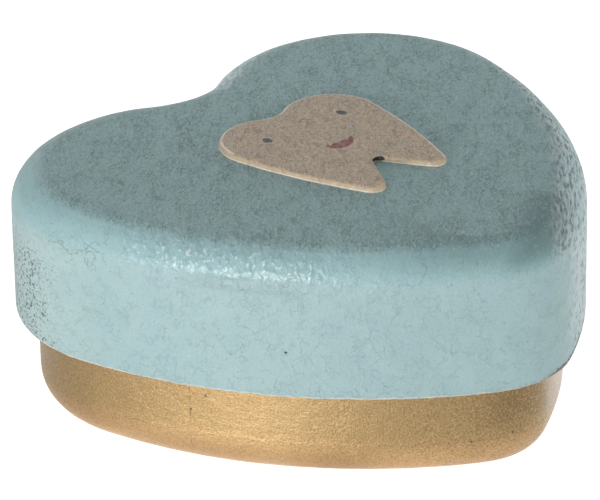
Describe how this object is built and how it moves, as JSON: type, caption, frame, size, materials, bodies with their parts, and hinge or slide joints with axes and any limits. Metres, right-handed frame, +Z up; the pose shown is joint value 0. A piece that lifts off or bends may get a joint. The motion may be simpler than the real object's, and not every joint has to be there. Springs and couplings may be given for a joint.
{
  "type": "heart-shaped baby tooth box",
  "caption": "Small heart-shaped keepsake box for baby teeth: gold base with a felt-lined floor, pale blue-green lift-off lid, flat tooth plaque with a simple smiling face glued on top.",
  "frame": {"origin": "under the middle of the box, on the surface that it stands on", "axes": "+Y towards the notch between the heart's lobes, -Y towards its tip, +X across the lobes, +Z up and out of the lid"},
  "size_m": [0.072, 0.0668, 0.0315],
  "materials": {
    "gold_paint": "wood-fibre board under satin gold paint with a fine metallic grain",
    "blue_green_paint": "wood-fibre board under satin grey blue-green paint with fine hair cracks",
    "plaque_board": "thin board in matt sand-coloured paint, face marks painted on",
    "felt": "thin cream felt"
  },
  "bodies": {
    "base": {"base_floor": "gold_paint", "base_wall": "gold_paint", "floor_pad": "felt"},
    "lid": {"lid_rim": "blue_green_paint", "lid_top": "blue_green_paint", "tooth_plaque": "plaque_board"}
  },
  "joints": [
    {"name": "lid_lift", "type": "slide", "parent": "base", "child": "lid", "axis": [0, 0, 1], "range_m": [0, 0.04]}
  ]
}
